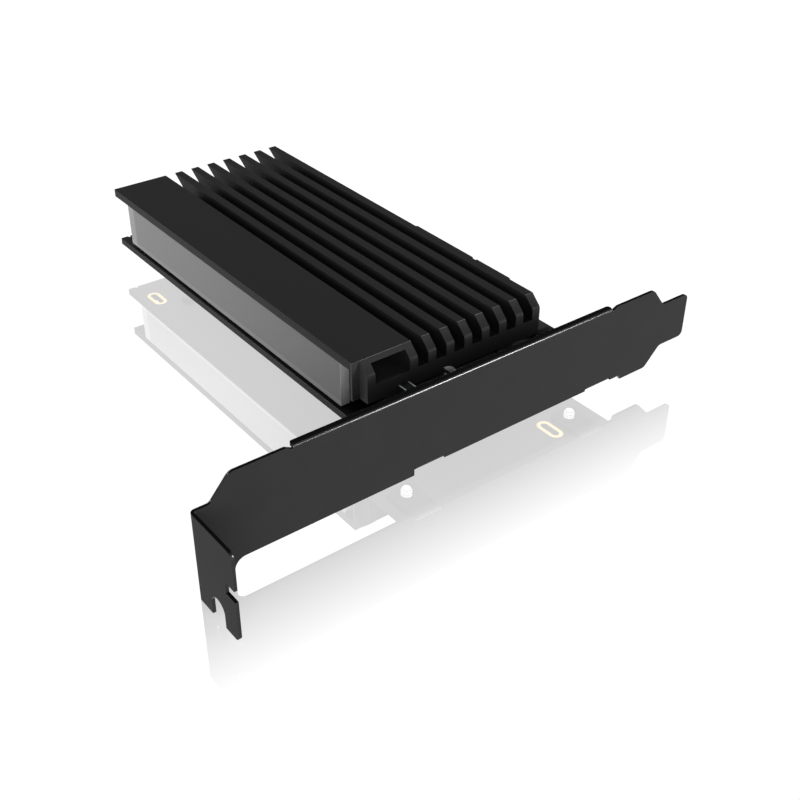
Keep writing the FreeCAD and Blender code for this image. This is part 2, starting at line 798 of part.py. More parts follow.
def make_pads():
    """Thermal pads: one under the heat sink's base and one on the board, with the drive between."""
    span = DRIVE_END + " - standoff_radius * 2 - pad_start"
    width = "drive_width - 2 * pad_side"
    upper = box("upper_thermal_pad", "pad_side - drive_width / 2", "pad_start", "sink_floor - pad_gauge",
                width, span, "pad_gauge")
    lower = box("lower_thermal_pad", "pad_side - drive_width / 2", "pad_start", "0", width, span, "pad_gauge")
    return [upper, lower]


def make_choke():
    """The filter choke beside the socket: a ferrite block with a metal band at each end."""
    left = "- choke_x - choke_width / 2"
    near_side = "choke_y - choke_span / 2"
    core = box("choke", left + " + choke_band", near_side, "0", "choke_width - 2 * choke_band",
               "choke_span", "choke_rise")
    bands = [
        box("choke_band_left", left, near_side, "0", "choke_band", "choke_span", "choke_rise"),
        box("choke_band_right", left + " + choke_width - choke_band", near_side, "0", "choke_band",
            "choke_span", "choke_rise"),
    ]
    return [core, joined("Part::Compound", "choke_terminals", bands)]


def make_can():
    """The can capacitor in front of the socket, on its square base."""
    base = box("can_capacitor_base", "- can_x - can_base / 2", "can_y - can_base / 2", "0", "can_base",
               "can_base", "can_base_rise")
    can = cylinder("can_capacitor", "- can_x", "can_y", "can_base_rise", "can_radius",
                   "can_rise - can_base_rise")
    return [base, can]


def strip_x(width):
    """Places a part of this width in the middle of the open strip beside the heat sink."""
    return "(sink_half + board_right) / 2 - (%s) / 2" % width


def make_strip_parts():
    """Power and signal parts on the open strip of the board beside the heat sink."""
    regulator_y = "finger_row - regulator_offset"
    controller_y = "finger_row + finger_short + finger_key + finger_long + controller_offset"
    chip = box("regulator_chip", strip_x("chip_width"), regulator_y, "0", "chip_width", "chip_span",
               "chip_rise")
    coil = box("power_inductor", strip_x("coil_width"), "finger_row - coil_offset", "0", "coil_width",
               "coil_width", "coil_rise")
    lamp_chip = box("light_controller_chip", strip_x("chip_width"), controller_y, "0", "chip_width",
                    "chip_span", "chip_rise")
    leads = []
    for tag, y in (("regulator", regulator_y), ("controller", controller_y)):
        for side, x in (("left", strip_x("chip_width") + " - small_width"),
                        ("right", strip_x("chip_width") + " + chip_width")):
            for number in range(int(size("lead_count"))):
                start = "%s + chip_span * (%d + 0.5) / lead_count - tail_width" % (y, number)
                leads.append(box("%s_lead_%s_%d" % (tag, side, number), x, start, "0", "small_width",
                                 "tail_width * 2", "tail_gauge * 2"))
    chip_leads = joined("Part::Compound", "chip_leads", leads)
    capacitors = []
    resistors = []
    for number in range(int(size("coupling_count"))):
        y = "finger_row + strip_margin + %d * small_pitch" % number
        capacitors.append(box("coupling_%d" % number, "board_right - strip_margin - small_span", y, "0",
                              "small_span", "small_width", "small_rise"))
    for number in range(int(size("resistor_count"))):
        y = "board_near + board_span - resistor_inset - %d * small_pitch" % number
        resistors.append(box("resistor_%d" % number, strip_x("small_span"), y, "0", "small_span",
                             "small_width", "small_rise / 2"))
    bulk = []
    for number in range(int(size("bulk_count"))):
        y = "finger_row - bulk_offset + %d * small_pitch" % number
        bulk.append(box("bulk_%d" % number, strip_x("small_span * 2"), y, "0", "small_span * 2",
                        "small_span", "small_rise * 2"))
    return [
        chip,
        coil,
        lamp_chip,
        chip_leads,
        joined("Part::Compound", "ceramic_capacitors", capacitors),
        joined("Part::Compound", "resistors", resistors),
        joined("Part::Compound", "bulk_capacitors", bulk),
    ]


def main():
    parts = [
        make_bracket(),
        make_board(),
        make_contacts("edge_contacts_top", "0"),
        make_contacts("edge_contacts_bottom", "- board_gauge - copper_gauge"),
        make_rings(),
        make_screws("bracket_screws", [(side, "ear_row") for side in EAR_SIDES], "0", True,
                    "screw_radius", "screw_head_radius", "screw_head_rise",
                    "- board_gauge - sheet_gauge - screw_tip", "board_gauge + sheet_gauge + screw_tip"),
        make_heat_sink(),
        make_screws("heat_sink_screws", SINK_SCREW_SPOTS, "- board_gauge", False,
                    "sink_screw_radius", "sink_head_radius", "sink_head_rise",
                    "- board_gauge", "board_gauge + sink_screw_bite"),
        make_light_guide(),
        make_lamps(),
        make_socket(),
        make_tails(),
        make_anchors(),
        make_standoff(),
    ]
    parts += make_pads()
    parts += make_choke()
    parts += make_can()
    parts += make_strip_parts()
    doc.recompute()

    for thing in doc.Objects:
        if "Invalid" in thing.State or "Error" in thing.State:
            raise ValueError("%s failed: %s" % (thing.Name, thing.State))
    for part in parts:
        if part.Shape.isNull() or not part.Shape.isValid():
            raise ValueError("%s has no valid shape" % part.Label)

    os.makedirs("parts", exist_ok=True)
    for part in parts:
        part.Shape.exportStep("parts/%s.step" % part.Label)
        print("%-24s %2d solids %10.2f mm3" % (part.Label, len(part.Shape.Solids), part.Shape.Volume))


main()
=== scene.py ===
from math import cos, pi, radians, sin

import bmesh
import bpy
from bpy.props import FloatProperty, FloatVectorProperty, IntProperty, PointerProperty
from mathutils import Matrix, Vector


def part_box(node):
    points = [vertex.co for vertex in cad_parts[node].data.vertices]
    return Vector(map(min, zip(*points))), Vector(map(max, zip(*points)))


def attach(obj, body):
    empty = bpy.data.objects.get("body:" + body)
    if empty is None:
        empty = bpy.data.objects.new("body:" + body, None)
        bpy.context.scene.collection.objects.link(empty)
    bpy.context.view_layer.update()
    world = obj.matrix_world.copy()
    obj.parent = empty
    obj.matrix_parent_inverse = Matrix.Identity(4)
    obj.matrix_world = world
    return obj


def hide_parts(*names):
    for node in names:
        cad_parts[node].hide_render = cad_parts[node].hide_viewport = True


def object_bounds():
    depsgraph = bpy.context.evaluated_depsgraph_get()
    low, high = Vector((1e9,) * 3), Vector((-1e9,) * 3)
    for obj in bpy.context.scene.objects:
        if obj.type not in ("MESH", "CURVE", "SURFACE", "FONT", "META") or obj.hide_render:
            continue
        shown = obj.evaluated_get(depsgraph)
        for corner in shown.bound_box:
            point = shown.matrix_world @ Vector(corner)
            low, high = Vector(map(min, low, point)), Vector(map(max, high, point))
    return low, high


bl_info = {
    "name": "Drive adapter card",
    "version": (1, 0, 0),
    "blender": (4, 5, 0),
    "location": "3D View > Sidebar > Adapter Card",
    "description": "Dresses the packed drive adapter card and sets it on a pale floor",
    "category": "Object",
}

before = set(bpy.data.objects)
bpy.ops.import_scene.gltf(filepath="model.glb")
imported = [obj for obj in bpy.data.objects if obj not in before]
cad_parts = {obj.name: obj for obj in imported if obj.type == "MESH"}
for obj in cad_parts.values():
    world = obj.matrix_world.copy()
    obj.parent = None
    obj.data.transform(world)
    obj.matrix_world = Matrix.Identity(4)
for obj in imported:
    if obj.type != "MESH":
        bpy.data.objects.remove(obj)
CAD_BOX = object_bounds()
MM = 0.001
WELD = 0.002 * MM
WHITE = (1, 1, 1, 1)


# Sizes and colours that a user would change.

class CardSizes(bpy.types.PropertyGroup):
    """Sizes of the small forms that the dressing adds."""

    sheet_edge: FloatProperty(
        name="Sheet edge", description="Rounding of the folded sheet's cut edges",
        default=0.15 * MM, min=0, unit="LENGTH")
    sink_edge: FloatProperty(
        name="Heat sink edge", description="Rounding of the heat sink's edges",
        default=0.18 * MM, min=0, unit="LENGTH")
    nose_round: FloatProperty(
        name="Nose rounding", description="Rounding between the heat sink's front wall and its slope",
        default=0.5 * MM, min=0, unit="LENGTH")
    board_edge: FloatProperty(
        name="Board edge", description="Rounding of the board's cut edges",
        default=0.06 * MM, min=0, unit="LENGTH")
    guide_edge: FloatProperty(
        name="Light guide edge", description="Rounding of the light guide's edges",
        default=0.15 * MM, min=0, unit="LENGTH")
    part_edge: FloatProperty(
        name="Small part edge", description="Rounding of chips, blocks and pads",
        default=0.08 * MM, min=0, unit="LENGTH")
    thread_pitch: FloatProperty(
        name="Thread pitch", description="Distance from turn to turn of the screws' threads",
        default=0.5 * MM, min=0.1 * MM, unit="LENGTH")
    thread_depth: FloatProperty(
        name="Thread depth", description="Depth of the screws' threads",
        default=0.18 * MM, min=0, unit="LENGTH")
    track_width: FloatProperty(
        name="Track width", description="Width of the copper tracks under the solder mask",
        default=0.3 * MM, min=0.05 * MM, unit="LENGTH")
    track_rise: FloatProperty(
        name="Track rise", description="Height of the tracks above the board's face",
        default=0.02 * MM, min=0, unit="LENGTH")


class CardColours(bpy.types.PropertyGroup):
    """Base colours of the finishes, as linear red, green and blue."""

    sheet: FloatVectorProperty(
        name="Bracket", description="Powder coat of the bracket",
        default=(0.0220, 0.0214, 0.0217), subtype="COLOR", size=3, min=0, max=1)
    sink: FloatVectorProperty(
        name="Heat sink", description="Anodised black of the heat sink",
        default=(0.0220, 0.0214, 0.0217), subtype="COLOR", size=3, min=0, max=1)
    mask: FloatVectorProperty(
        name="Solder mask", description="Solder mask of the board",
        default=(0.0110, 0.0110, 0.0112), subtype="COLOR", size=3, min=0, max=1)
    guide: FloatVectorProperty(
        name="Light guide", description="Frosted plastic of the light guide",
        default=(0.27, 0.265, 0.265), subtype="COLOR", size=3, min=0, max=1)
    gold: FloatVectorProperty(
        name="Gold plating", description="Contacts and slot rings",
        default=(0.80, 0.60, 0.25), subtype="COLOR", size=3, min=0, max=1)
    tin: FloatVectorProperty(
        name="Tin plating", description="Leads, bands and end caps",
        default=(0.78, 0.78, 0.80), subtype="COLOR", size=3, min=0, max=1)


class StageSizes(bpy.types.PropertyGroup):
    """The camera, lamps and floor."""

    lens: FloatProperty(
        name="Lens", description="Focal length on a 36 mm wide sensor",
        default=52.31, min=1, unit="CAMERA")
    azimuth: FloatProperty(
        name="Azimuth", description="Direction of the camera, from straight along the card",
        default=radians(-37.77), subtype="ANGLE")
    elevation: FloatProperty(
        name="Elevation", description="Height of the camera above the horizon",
        default=radians(34.20), subtype="ANGLE")
    roll: FloatProperty(
        name="Roll", description="Turn of the camera about its own axis",
        default=radians(-0.41), subtype="ANGLE")
    place: FloatVectorProperty(
        name="Camera place", description="The camera's position in the card's frame",
        default=(-130.40 * MM, -134.72 * MM, 131.24 * MM), subtype="XYZ", size=3, unit="LENGTH")
    floor_side: FloatProperty(
        name="Floor side", description="Side of the square floor",
        default=12.0, min=1, unit="LENGTH")
    floor_gloss: FloatProperty(
        name="Floor gloss", description="Share of the floor's look that is a mirror image",
        default=0.80, min=0, max=0.9, subtype="FACTOR")
    floor_light: FloatProperty(
        name="Floor light", description="Share of the rest that shows plain white",
        default=0.40, min=0.1, max=1, subtype="FACTOR")
    fade_start: FloatProperty(
        name="Fade start", description="How far before the bracket the mirror image starts to fade",
        default=3 * MM, min=0, unit="LENGTH")
    fade_end: FloatProperty(
        name="Fade end", description="How far before the bracket the mirror image ends",
        default=20 * MM, min=0, unit="LENGTH")
    world_level: FloatProperty(
        name="World level", description="Strength of the even light from all round",
        default=0.224, min=0, max=5)
    world_gloss: FloatProperty(
        name="World in gloss", description="Strength of the world where a satin surface shows it",
        default=0.224, min=0, max=1)
    floor_sky: FloatProperty(
        name="World in the floor", description="Strength of the world in the floor's mirror image",
        default=0.55, min=0, max=1)
    lathe_steps: IntProperty(
        name="Round steps", description="Flats round a turned form",
        default=48, min=8, max=256)


# Shader building: one class for numbers in a node tree and one for a whole finish.

class Value:
    """A number in a node tree; sums and products with it add Math nodes."""

    def __init__(self, tree, socket):
        self.tree = tree
        self.socket = socket

    def math(self, operation, *terms):
        node = self.tree.nodes.new("ShaderNodeMath")
        node.operation = operation
        for slot, term in zip(node.inputs, terms):
            if isinstance(term, Value):
                self.tree.links.new(term.socket, slot)
            else:
                slot.default_value = term
        return Value(self.tree, node.outputs[0])

    def __add__(self, other):
        return self.math("ADD", self, other)

    def __radd__(self, other):
        return self.math("ADD", other, self)

    def __sub__(self, other):
        return self.math("SUBTRACT", self, other)

    def __rsub__(self, other):
        return self.math("SUBTRACT", other, self)

    def __mul__(self, other):
        return self.math("MULTIPLY", self, other)

    def __rmul__(self, other):
        return self.math("MULTIPLY", other, self)

    def __truediv__(self, other):
        return self.math("DIVIDE", self, other)

    def __lt__(self, other):
        return self.math("LESS_THAN", self, other)

    def __gt__(self, other):
        return self.math("GREATER_THAN", self, other)

    def absolute(self):
        return self.math("ABSOLUTE", self)

    def sine(self):
        return self.math("SINE", self)

    def larger(self, other):
        return self.math("MAXIMUM", self, other)

    def ramp(self, low, high):
        """From 0 at low to 1 at high, held at both ends."""
        node = self.tree.nodes.new("ShaderNodeMapRange")
        self.tree.links.new(self.socket, node.inputs["Value"])
        node.inputs["From Min"].default_value = low
        node.inputs["From Max"].default_value = high
        return Value(self.tree, node.outputs["Result"])


class Finish:
    """A node material in the making, round one main shader."""

    def __init__(self, name, constants):
        self.material = bpy.data.materials.new(name)
        self.material.use_nodes = True
        self.tree = self.material.node_tree
        self.tree.nodes.clear()
        self.surface = self.node("ShaderNodeBsdfPrincipled", {}, constants)
        self.output = self.node("ShaderNodeOutputMaterial", {}, {"Surface": self.surface.outputs["BSDF"]})
        self.place = self.node("ShaderNodeTexCoord", {}, {}).outputs["Object"]

    def node(self, kind, settings, sockets):
        made = self.tree.nodes.new(kind)
        for key, value in settings.items():
            setattr(made, key, value)
        for key, value in sockets.items():
            self.link(value, made.inputs[key])
        return made

    def link(self, value, socket):
        if isinstance(value, Value):
            value = value.socket
        if isinstance(value, bpy.types.NodeSocket):
            self.tree.links.new(value, socket)
        else:
            socket.default_value = value

    def feed(self, name, value):
        self.link(value, self.surface.inputs[name])

    def noise(self, size, detail, place=None):
        """Soft noise whose lumps are about this size."""
        made = self.node("ShaderNodeTexNoise", {"noise_dimensions": "3D"},
                         {"Vector": place or self.place, "Scale": 1 / size, "Detail": detail})
        return Value(self.tree, made.outputs[0])

    def along(self, stretch):
        """The place, squeezed on each axis by these factors."""
        made = self.node("ShaderNodeVectorMath", {"operation": "MULTIPLY"},
                         {0: self.place, 1: stretch})
        return made.outputs[0]

    def axes(self):
        """The three numbers of the place."""
        made = self.node("ShaderNodeSeparateXYZ", {}, {0: self.place})
        return [Value(self.tree, socket) for socket in made.outputs]

    def facing(self):
        """The three numbers of the surface's own direction."""
        geometry = self.node("ShaderNodeNewGeometry", {}, {})
        made = self.node("ShaderNodeSeparateXYZ", {}, {0: geometry.outputs["Normal"]})
        return [Value(self.tree, socket) for socket in made.outputs]

    def turned(self):
        """1 where the surface turns between the object's own flats, as on a bend or a rounded edge."""
        x, y, z = [side.absolute() for side in self.facing()]
        return 1 - x.larger(y.larger(z)).ramp(0.90, 0.985)

    def blend(self, factor, first, second):
        """A colour between two colours."""
        made = self.node("ShaderNodeMix", {"data_type": "RGBA"}, {})
        self.link(factor, made.inputs[0])
        for colour, socket in ((first, made.inputs[6]), (second, made.inputs[7])):
            self.link(colour if isinstance(colour, bpy.types.NodeSocket) else (*colour, 1), socket)
        return made.outputs[2]

    def bump(self, height, distance):
        made = self.node("ShaderNodeBump", {}, {"Strength": 1.0, "Distance": distance})
        self.link(height, made.inputs["Height"])
        self.feed("Normal", made.outputs["Normal"])

    def mix(self, factor, first, second):
        """A shader between two shaders."""
        return self.node("ShaderNodeMixShader", {}, {0: factor, 1: first, 2: second}).outputs[0]

    def glow(self, strength):
        """A white light of its own."""
        return self.node("ShaderNodeEmission", {}, {"Color": WHITE, "Strength": strength}).outputs[0]


def shade(colour, factor):
    return tuple(channel * factor for channel in colour)


def grained(name, colour, roughness, grain, depth, spread=0.25, metallic=0.0):
    """A plain finish with fine grain: its colour, gloss and height all vary a little."""
    if isinstance(colour, str):
        colour = getattr(bpy.context.scene.card_colours, colour)
    made = Finish(name, {"Metallic": metallic})
    fine = made.noise(grain * MM, 3.0)
    broad = made.noise(grain * MM * 40, 2.0)
    tint = fine * 0.5 + broad * 0.5
    made.feed("Base Color", made.blend(tint, shade(colour, 1 - spread), shade(colour, 1 + spread)))
    made.feed("Roughness", roughness + (tint - 0.5) * 0.12)
    made.bump(fine, depth * MM)
    return made.material


# The finishes. A plain one has a colour, or the name of one that a user may set, its roughness, the width and
# depth of its grain in millimetres, and then, where needed, its colour's spread and its metallic share.

PLAIN = {
    "gold_plate": ("gold", 0.28, 0.1, 0.004, 0.1, 0.6),
    "tin_plate": ("tin", 0.30, 0.15, 0.008, 0.12, 0.6),
    "black_oxide": ((0.02, 0.02, 0.021), 0.38, 0.1, 0.006, 0.25, 0.6),
    "turned_brass": ((0.72, 0.52, 0.24), 0.32, 0.08, 0.006, 0.25, 0.7),
    "lamp_body_white": ((0.80, 0.80, 0.77), 0.45, 0.2, 0.004, 0.04),
    "lamp_lens_yellow": ((0.74, 0.62, 0.22), 0.18, 0.3, 0.003, 0.08),
    "moulded_black": ((0.012, 0.012, 0.012), 0.5, 0.12, 0.012),
    "chip_epoxy": ((0.014, 0.014, 0.015), 0.62, 0.06, 0.014),
    "ferrite_green": ((0.004, 0.012, 0.009), 0.55, 0.1, 0.012),
    "pressed_powder": ((0.055, 0.055, 0.06), 0.6, 0.08, 0.02),
    "fired_ceramic": ((0.30, 0.20, 0.11), 0.45, 0.2, 0.006, 0.12),
    "resistor_glaze": ((0.018, 0.018, 0.02), 0.3, 0.2, 0.004),
}


def powder_coat():
    """Smooth black powder coat: dull on flats, glossy where the sheet turns, with painted shade that darkens
    the faces that look up and a painted highlight on its rear-facing edges.
    """
    colour = bpy.context.scene.card_colours.sheet
    made = Finish("powder_coat_black", {"Specular IOR Level": 0.10, "Coat Roughness": 0.20})
    fine = made.noise(0.16 * MM, 3.0)
    tint = fine * 0.5 + made.noise(6 * MM, 2.0) * 0.5
    _, y, z = made.facing()
    # Painted shade: the faces that look up are blended towards black, and are also made rougher.
    top = z.ramp(0.6, 0.95)
    # Rear-facing rounded edges get coat gloss and a painted highlight that blends them halfway to white.
    rear_gloss_and_painted_highlight = z.ramp(0.60, 0.70) * (1 - z.ramp(0.97, 0.99)) * y.ramp(0.08, 0.15)
    coat = made.blend(tint, shade(colour, 0.75), shade(colour, 1.25))
    coat = made.blend(top * 0.9, coat, (0, 0, 0))
    made.feed("Base Color", made.blend(rear_gloss_and_painted_highlight * 0.5, coat, (1, 1, 1)))
    made.feed("Roughness", 0.56 + top * 0.3 + (tint - 0.5) * 0.12)
    made.feed("Coat Weight", made.turned() * (1 - z.ramp(0.70, 0.88)) + rear_gloss_and_painted_highlight)
    made.bump(fine, 0.012 * MM)
    return made.material


def anodised_black():
    """Blasted and anodised aluminium with faint die lines, a painted highlight on its front edges, painted
    light on its front and front corner, and painted shade in the gaps between the fins.
    """
    colour = bpy.context.scene.card_colours.sink
    made = Finish("anodised_black", {"Specular IOR Level": 0.12, "Coat Roughness": 0.30})
    fine = made.noise(0.12 * MM, 3.0)
    lines = made.noise(0.5 * MM, 2.0, made.along((1.0, 0.01, 1.0)))
    tint = fine * 0.4 + lines * 0.6
    x, y, z = made.facing()
    # Edges that turn from the top towards the front: coat gloss, and a painted highlight that blends them a
    # little towards white.
    edge = z.ramp(0.78, 0.84) * (1 - z.ramp(0.965, 0.99)) * (1 - y.ramp(-0.30, -0.15))
    low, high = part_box("heat_sink")
    across, reach, rise = made.axes()
    # Painted light on the front and on the front corner by the light guide, and painted shade on the walls of
    # the gaps between the fins.
    front = 1 - reach.ramp(low.y + 3.0 * MM, low.y + 3.2 * MM)
    front_painted_light = (1 - y.ramp(-0.90, -0.60)) * front
    corner = (1 - x.ramp(-0.9, -0.7)) * front * (1 - across.ramp(low.x + 5 * MM, low.x + 6 * MM))
    gap_painted_shade = across.ramp(low.x + 14.5 * MM, low.x + 14.9 * MM) * (1 - front_painted_light)
    gap_painted_shade = gap_painted_shade * (1 - rise.ramp(high.z - 1.2 * MM, high.z - 0.2 * MM))
    gap_painted_shade = gap_painted_shade * (1 - across.ramp(high.x - MM, high.x))
    gap_painted_shade = gap_painted_shade * (1 - reach.ramp(high.y - 5.0 * MM, high.y - 4.6 * MM))
    black = made.blend(tint, shade(colour, 0.8), shade(colour, 1.25))
    # Painted shade: the walls of the gaps are blended towards black, except near the fins' tops and at their
    # far ends.
    black = made.blend(gap_painted_shade * 0.6, black, (0, 0, 0))
    # Painted light: the front corner is made three times as light, and the front twice as light.
    black = made.blend(corner, black, shade(colour, 3.0))
    black = made.blend(front_painted_light, black, shade(colour, 2.0))
    # Painted highlight: the front edges are blended a little towards white.
    made.feed("Base Color", made.blend(edge * 0.22, black, (1, 1, 1)))
    made.feed("Roughness", 0.50 + (tint - 0.5) * 0.16)
    made.feed("Coat Weight", edge)
    made.bump(fine * 0.8 + lines * 0.4, 0.010 * MM)
    return made.material


def solder_mask():
    """Glossy mask on both faces, and the darker cut edge of the laminate."""
    colour = bpy.context.scene.card_colours.mask
    made = Finish("solder_mask_black", {"Specular IOR Level": 0.25})
    edge = made.facing()[2].absolute() < 0.5
    weave = made.noise(0.35 * MM, 2.0)
    flow = made.noise(6 * MM, 2.0)
    face = made.blend(flow, shade(colour, 0.8), shade(colour, 1.3))
    layers = made.noise(0.2 * MM, 3.0, made.along((1, 1, 6)))
    cut = made.blend(layers, (0.016, 0.015, 0.015), (0.030, 0.029, 0.028))
    made.feed("Base Color", made.blend(edge, face, cut))
    made.feed("Roughness", 0.34 + edge * 0.28 + (weave - 0.5) * 0.08)
    made.bump(weave, 0.008 * MM)
    return made.material


def frosted_guide():
    """Frosted clear plastic with painted light: paler towards its lower edge and its far end, where light
    gathers, and on its front face.
    """
    colour = bpy.context.scene.card_colours.guide
    low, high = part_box("light_guide")
    made = Finish("frosted_clear", {"Specular IOR Level": 0.5})
    _, y, z = made.axes()
    far = y.ramp(low.y, high.y)
    foot = 1 - z.ramp(low.z + 0.9 * MM, low.z + 1.5 * MM)
    end = y.ramp(high.y - 3.2 * MM, high.y - 2.6 * MM)
    front = 1 - made.facing()[1].ramp(-0.8, -0.3)
    # Painted light: the tone rises towards the far end, at the foot, at the very end, and most on faces that
    # look to the front.
    level = 0.54 + far * 0.42 + foot * 0.36 + end * 0.50 + front * 1.4
    haze = made.noise(3 * MM, 2.0)
    grain = made.noise(0.15 * MM, 3.0)
    level = level + (haze - 0.5) * 0.06
    made.feed("Base Color", made.blend(level * 0.5, (0, 0, 0), shade(colour, 2.0)))
    made.feed("Roughness", 0.42 + (grain - 0.5) * 0.12)
    made.bump(grain, 0.008 * MM)
    return made.material


def choke_band():
    """Solder on the top of the choke's ends, over its green body."""
    made = Finish("choke_band", {"Metallic": 0.2})
    fine = made.noise(0.12 * MM, 3.0)
    top = made.facing()[2].ramp(0.4, 0.7)
    solder = made.blend(fine, (0.80, 0.80, 0.81), (0.90, 0.90, 0.91))
    made.feed("Base Color", made.blend(top, (0.005, 0.014, 0.010), solder))
    made.feed("Roughness", 0.55 - top * 0.2 + (fine - 0.5) * 0.1)
    made.bump(fine, 0.008 * MM)
    return made.material


def zinc_plate():
    """Bright plated screws with faint turning marks."""
    made = Finish("zinc_plate", {"Metallic": 0.7})
    marks = made.noise(0.05 * MM, 2.0, made.along((1, 1, 8)))
    made.feed("Base Color", made.blend(marks, (0.62, 0.62, 0.64), (0.80, 0.80, 0.82)))
    made.feed("Roughness", 0.24 + marks * 0.14)
    made.bump(marks, 0.004 * MM)
    return made.material


def soft_pad():
    """Soft grey pad with a fine woven backing."""
    made = Finish("soft_pad_grey", {})
    x, y, _ = made.axes()
    thread_gap = 0.4 * MM
    weave = (x / thread_gap * pi).sine() * (y / thread_gap * pi).sine()
    lumps = made.noise(2 * MM, 3.0)
    made.feed("Base Color", made.blend(lumps, (0.14, 0.16, 0.20), (0.20, 0.22, 0.27)))
    made.feed("Roughness", 0.75 + weave * 0.06)
    made.bump(weave * 0.3 + lumps, 0.02 * MM)
    return made.material


def bright_can():
    """Bright drawn can whose top carries one dark segment as a pole mark."""
    low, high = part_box("can_capacitor")
    made = Finish("bright_can", {"Metallic": 1.0})
    x, _, z = made.axes()
    marked = (x < low.x + 0.32 * (high.x - low.x)) * (z > high.z - 0.25 * MM)
    brushed = made.noise(0.08 * MM, 2.0, made.along((1, 1, 10)))
    metal = made.blend(brushed, (0.50, 0.50, 0.52), (0.72, 0.72, 0.74))
    made.feed("Base Color", made.blend(marked, metal, (0.02, 0.02, 0.02)))
    made.feed("Roughness", 0.26 + marked * 0.3 + brushed * 0.08)
    made.bump(brushed, 0.004 * MM)
    return made.material


_finishes = {}


def finish(make):
    """The material that a function makes, or a plain one by its name, made once."""
    if make not in _finishes:
        _finishes[make] = grained(make, *PLAIN[make]) if make in PLAIN else make()
    return _finishes[make]


# Mesh building.

def add_piece(name, form, material, slot, *nodes):
    """Puts a form in the scene as a piece of the card, in place of the CAD nodes named."""
    mesh = mesh_from(form, name)
    piece = bpy.data.objects.new(name, mesh)
    bpy.context.scene.collection.objects.link(piece)
    mesh.materials.append(material)
    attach(piece, "root")
    if nodes:
        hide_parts(*nodes)
    return piece


def mesh_from(form, name):
    """A mesh of a form, smooth but for its sharp edges."""
    bmesh.ops.recalc_face_normals(form, faces=form.faces)
    mesh = bpy.data.meshes.new(name)
    form.to_mesh(mesh)
    form.free()
    mesh.polygons.foreach_set("use_smooth", [True] * len(mesh.polygons))
    mesh.set_sharp_from_angle(angle=radians(32))
    return mesh


def dress_node(name, material):
    """Gives a CAD node a new material and leaves its shape alone."""
    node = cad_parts[name]
    node.data.materials.clear()
    node.data.materials.append(material)


def node_form(name):
    """A CAD node's solids with their triangles joined into whole flat faces."""
    form = bmesh.new()
    form.from_mesh(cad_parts[name].data)
    bmesh.ops.remove_doubles(form, verts=form.verts, dist=WELD)
    bmesh.ops.dissolve_limit(form, angle_limit=radians(0.6), verts=form.verts, edges=form.edges,
                             use_dissolve_boundaries=False)
    return form


def round_edges(form, width, steps=2):
    """Rounds the edges of a form that turn by more than a slight angle."""
    slight = radians(35)
    sharp = [edge for edge in form.edges if len(edge.link_faces) == 2 and edge.calc_face_angle(0) > slight]
    bmesh.ops.bevel(form, geom=sharp, offset=width, offset_type="OFFSET", segments=steps,
                    profile=0.5, affect="EDGES", clamp_overlap=True)


def weighted(piece):
    """Makes the flats of a piece shade flat, so that only its rounded edges catch the light."""
    modifier = piece.modifiers.new("flat faces", "WEIGHTED_NORMAL")
    modifier.keep_sharp = True
    modifier.weight = 90


def softened(node, width, material, slot, steps=2):
    """A CAD node with its sharp edges rounded, in place of the node."""
    form = node_form(node)
    round_edges(form, width, steps)
    weighted(add_piece(node + "_rounded", form, material, slot, node))


def solid_boxes(node):
    """The box of each separate solid of a CAD node, as pairs of corners, in order along Y then X."""
    form = bmesh.new()
    form.from_mesh(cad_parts[node].data)
    bmesh.ops.remove_doubles(form, verts=form.verts, dist=WELD)
    boxes = []
    waiting = set(form.verts)
    while waiting:
        group = {waiting.pop()}
        edge = list(group)
        while edge:
            vert = edge.pop()
            for link in vert.link_edges:
                other = link.other_vert(vert)
                if other in waiting:
                    waiting.discard(other)
                    group.add(other)
                    edge.append(other)
        spots = [vert.co for vert in group]
        low = Vector(min(spot[axis] for spot in spots) for axis in range(3))
        high = Vector(max(spot[axis] for spot in spots) for axis in range(3))
        boxes.append((low, high))
    form.free()
    return sorted(boxes, key=lambda pair: (round(pair[0].y, 6), round(pair[0].x, 6)))


def block(form, low, high, width):
    """Adds a box with rounded edges to a form."""
    made = bmesh.new()
    bmesh.ops.create_cube(made, size=1.0)
    span = high - low
    middle = (low + high) / 2
    place = Matrix.Translation(middle) @ Matrix.Diagonal((*span, 1))
    bmesh.ops.transform(made, matrix=place, verts=made.verts)
    if width > 0:
        round_edges(made, min(width, min(span) * 0.3))
    join(form, made)


def join(form, other):
    """Adds one form to another."""
    mesh = bpy.data.meshes.new("joining")
    other.to_mesh(mesh)
    other.free()
    form.from_mesh(mesh)
    bpy.data.meshes.remove(mesh)


def lathe(form, profile, centre, steps):
    """Adds a closed form turned about Z: the profile is (radius, height) pairs and ends on the axis."""
    rings = []
    for radius, height in profile:
        if radius == 0:
            rings.append([form.verts.new((centre.x, centre.y, height))])
            continue
        ring = []
        for number in range(steps):
            turn = 2 * pi * number / steps
            spot = (centre.x + radius * cos(turn), centre.y + radius * sin(turn), height)
            ring.append(form.verts.new(spot))
        rings.append(ring)
    for lower, upper in zip(rings, rings[1:]):
        for number in range(steps):
            after = (number + 1) % steps
            if len(lower) == 1:
                form.faces.new((lower[0], upper[number], upper[after]))
            elif len(upper) == 1:
                form.faces.new((lower[number], lower[after], upper[0]))
            else:
                form.faces.new((lower[number], lower[after], upper[after], upper[number]))


